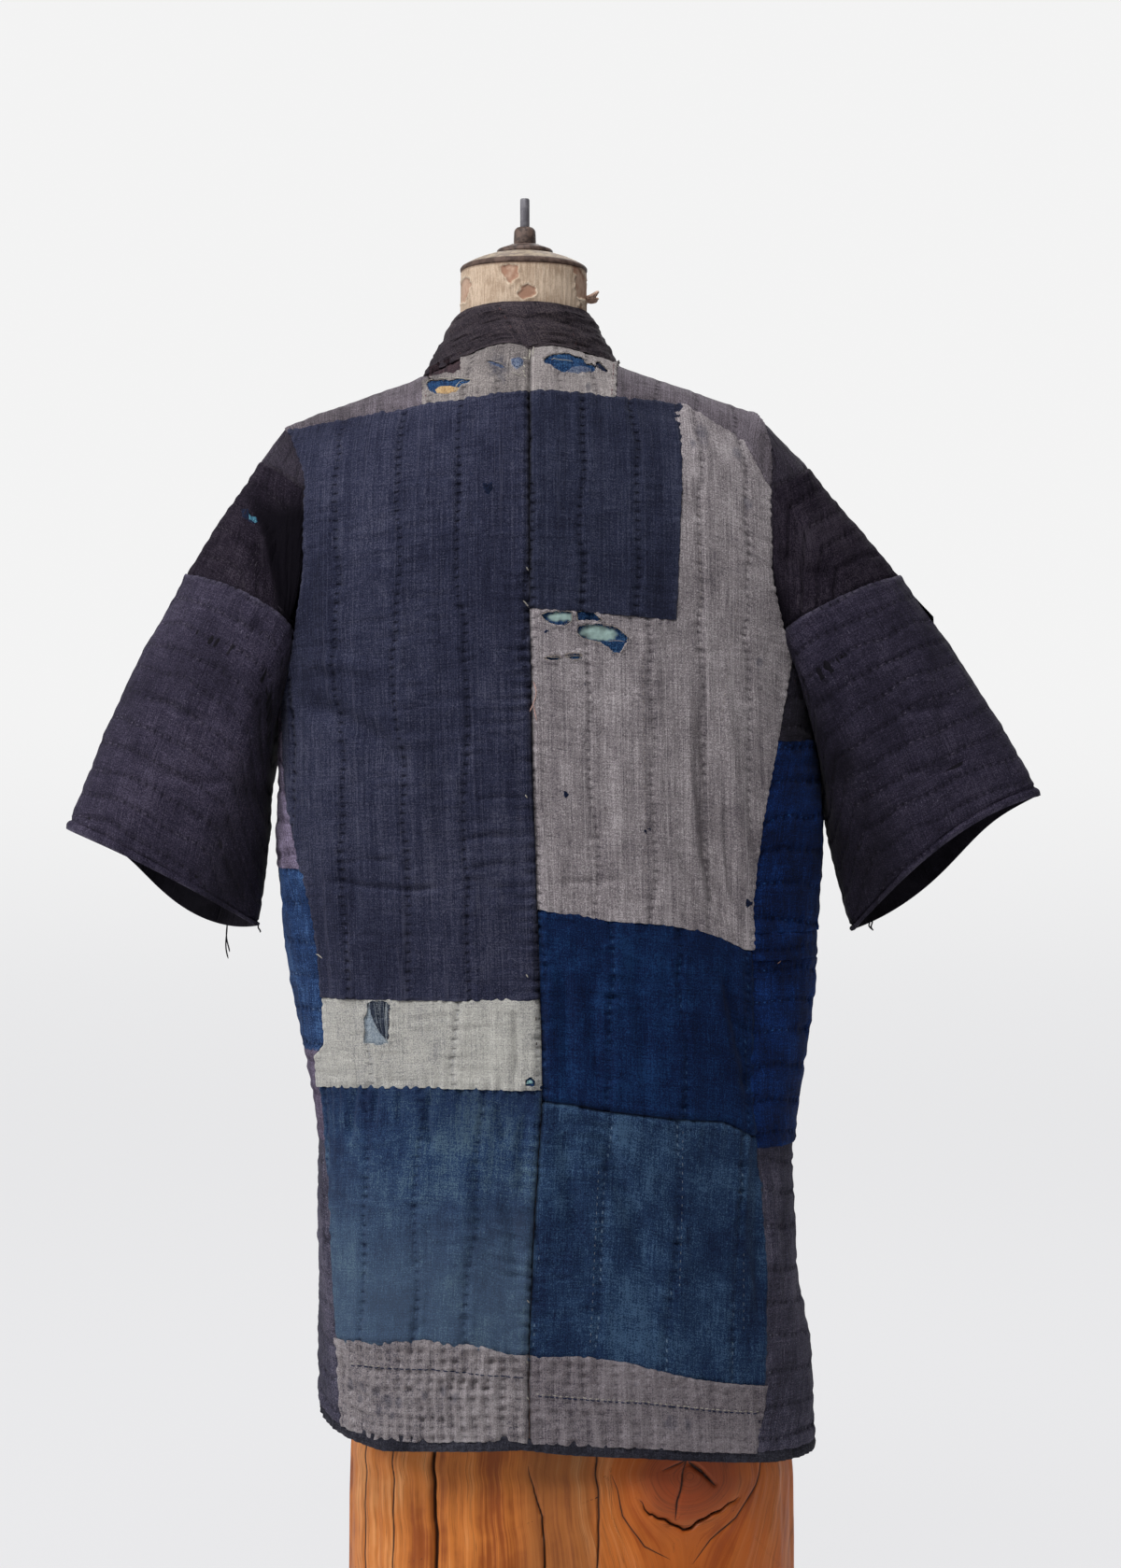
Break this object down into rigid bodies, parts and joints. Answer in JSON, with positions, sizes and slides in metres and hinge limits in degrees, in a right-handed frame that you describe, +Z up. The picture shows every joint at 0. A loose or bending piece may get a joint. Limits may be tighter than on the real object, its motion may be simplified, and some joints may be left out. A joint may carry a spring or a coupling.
{
  "type": "patched jacket on dress form and wooden stump stand",
  "caption": "Loose patchwork jacket with wide open sleeves and front bands, worn by a limbless dress form that stands on a wooden stump.",
  "frame": {"origin": "on the floor, under the middle of the stump's base", "axes": "+Z up, +Y out of the jacket's back, -Y out of its front, +X the wearer's left"},
  "size_m": [0.8678, 0.3101, 1.322],
  "materials": {
    "band_left": "matt, worn",
    "band_right": "matt, worn",
    "blue_low_left": "matt, worn",
    "blue_low_right": "matt, worn",
    "blue_mid_right": "matt, worn",
    "collar": "matt, worn",
    "cream_left": "matt, worn",
    "dress_form": "matt, worn",
    "finial_flange": "brown, worn",
    "finial_hub": "brown, worn",
    "finial_rod": "brown, worn",
    "front_left": "matt, worn",
    "front_right": "matt, worn",
    "grey_right": "matt, worn",
    "hem_binding": "matt, worn",
    "hem_patch_left": "matt, worn",
    "hem_patch_right": "matt, worn",
    "navy_left": "matt, worn",
    "navy_right": "matt, worn",
    "neck_cap": "matt, worn",
    "neck_patch_left": "matt, worn",
    "neck_patch_right": "matt, worn",
    "side_left_blue": "matt, worn",
    "side_left_charcoal": "matt, worn",
    "side_left_grey": "matt, worn",
    "side_left_thin": "matt, worn",
    "side_right_blue": "matt, worn",
    "side_right_charcoal": "matt, worn",
    "side_right_dark": "matt, worn",
    "side_right_navy": "matt, worn",
    "side_right_strip": "matt, worn",
    "sleeve_cap_left": "matt, worn",
    "sleeve_cap_right": "matt, worn",
    "sleeve_lower_left": "matt, worn",
    "sleeve_lower_right": "matt, worn",
    "sleeve_upper_left": "matt, worn",
    "sleeve_upper_right": "matt, worn",
    "stump": "polished",
    "yoke_left": "matt, worn",
    "yoke_right": "matt, worn"
  },
  "bodies": {
    "root": {"band_left": "band_left", "band_right": "band_right", "blue_low_left": "blue_low_left", "blue_low_right": "blue_low_right", "blue_mid_right": "blue_mid_right", "collar": "collar", "cream_left": "cream_left", "dress_form": "dress_form", "finial_flange": "finial_flange", "finial_hub": "finial_hub", "finial_rod": "finial_rod", "front_left": "front_left", "front_right": "front_right", "grey_right": "grey_right", "hem_binding": "hem_binding", "hem_patch_left": "hem_patch_left", "hem_patch_right": "hem_patch_right", "navy_left": "navy_left", "navy_right": "navy_right", "neck_cap": "neck_cap", "neck_patch_left": "neck_patch_left", "neck_patch_right": "neck_patch_right", "side_left_blue": "side_left_blue", "side_left_charcoal": "side_left_charcoal", "side_left_grey": "side_left_grey", "side_left_thin": "side_left_thin", "side_right_blue": "side_right_blue", "side_right_charcoal": "side_right_charcoal", "side_right_dark": "side_right_dark", "side_right_navy": "side_right_navy", "side_right_strip": "side_right_strip", "sleeve_cap_left": "sleeve_cap_left", "sleeve_cap_right": "sleeve_cap_right", "sleeve_lower_left": "sleeve_lower_left", "sleeve_lower_right": "sleeve_lower_right", "sleeve_upper_left": "sleeve_upper_left", "sleeve_upper_right": "sleeve_upper_right", "stump": "stump", "yoke_left": "yoke_left", "yoke_right": "yoke_right"}
  },
  "joints": []
}
